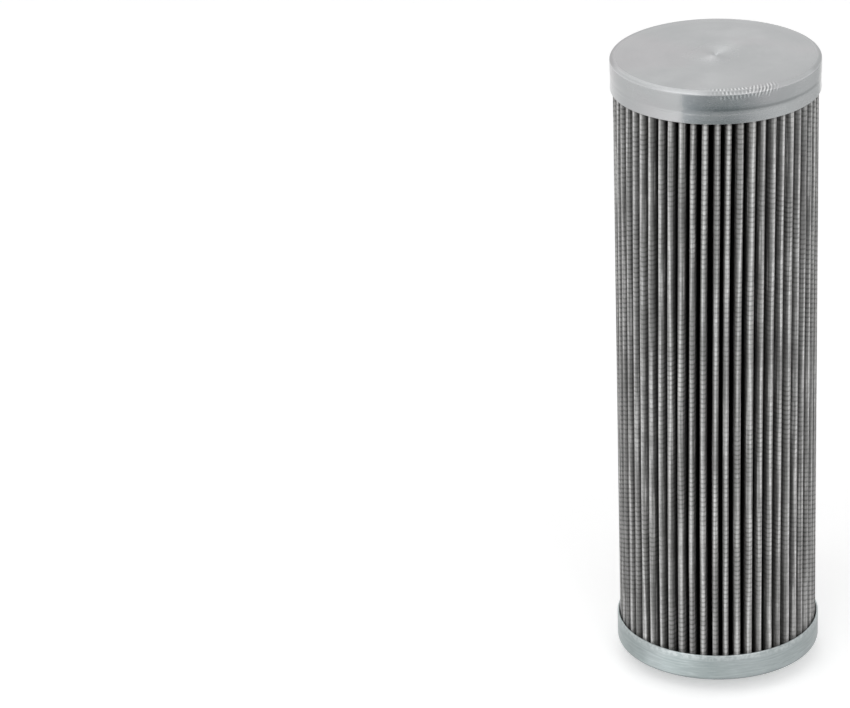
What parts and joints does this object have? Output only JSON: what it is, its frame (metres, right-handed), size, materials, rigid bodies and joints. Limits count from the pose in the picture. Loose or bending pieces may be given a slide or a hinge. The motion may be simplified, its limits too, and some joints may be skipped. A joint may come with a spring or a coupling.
{
  "type": "hydraulic filter",
  "caption": "Cylindrical pleated wire-cloth hydraulic filter cartridge with a closed metal end cap and an open end cap, whose stepped neck holds a seal ring.",
  "frame": {"origin": "centre of the neck's end face, which the cartridge stands on", "axes": "+Z along the axis towards the closed end cap; -Y towards the front valley between two pleats; the pack's side seam is at the back, just past +Y"},
  "size_m": [0.068, 0.068, 0.2154],
  "materials": {
    "plated_steel": "zinc plated, turned",
    "seal_rubber": "smooth moulded",
    "core_steel": "perforated sheet",
    "cured_adhesive": "cast flat",
    "wire_cloth": "fine woven wire",
    "glass_fibre_fleece": "pleated fleece",
    "clip_steel": "folded strip"
  },
  "bodies": {
    "root": {"closed_end_cap": "plated_steel", "open_end_cap": "plated_steel", "neck_seal": "seal_rubber", "core_tube": "core_steel", "upper_adhesive_bed": "cured_adhesive", "lower_adhesive_bed": "cured_adhesive", "outer_mesh": "wire_cloth", "filter_medium": "glass_fibre_fleece", "inner_mesh": "wire_cloth", "seam_clip": "clip_steel"}
  },
  "joints": []
}
